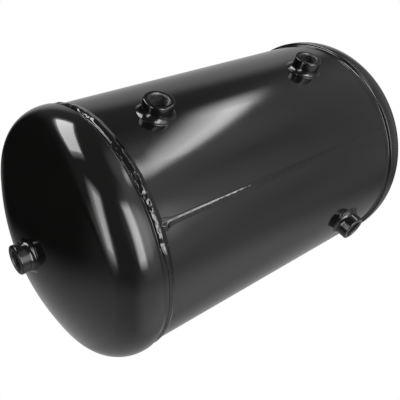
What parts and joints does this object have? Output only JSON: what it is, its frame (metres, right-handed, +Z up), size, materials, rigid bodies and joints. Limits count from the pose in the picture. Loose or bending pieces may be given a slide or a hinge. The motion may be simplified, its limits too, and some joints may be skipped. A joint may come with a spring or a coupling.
{
  "type": "compressed air reservoir tank",
  "caption": "Horizontal welded steel air tank: a rolled cylindrical shell with dished heads, girth and seam welds, and threaded round ports on its top, side and ends.",
  "frame": {"origin": "on the tank's axis, halfway along it", "axes": "+X along the tank towards the far head, +Z up through the two top ports, -Y towards the side port"},
  "size_m": [0.5282, 0.2942, 0.2942],
  "materials": {
    "shell_paint": "gloss",
    "head_paint": "gloss",
    "weld_paint": "gloss",
    "port_paint": "gloss"
  },
  "bodies": {
    "root": {"shell": "shell_paint", "head_near": "head_paint", "head_far": "head_paint", "girth_weld_near": "weld_paint", "girth_weld_far": "weld_paint", "seam_weld": "weld_paint", "top_port_near": "port_paint", "top_port_near_weld": "weld_paint", "top_port_far": "port_paint", "top_port_far_weld": "weld_paint", "side_port_far": "port_paint", "side_port_far_weld": "weld_paint", "head_port_near": "port_paint", "head_port_near_weld": "weld_paint", "head_port_far": "port_paint", "head_port_far_weld": "weld_paint"}
  },
  "joints": []
}
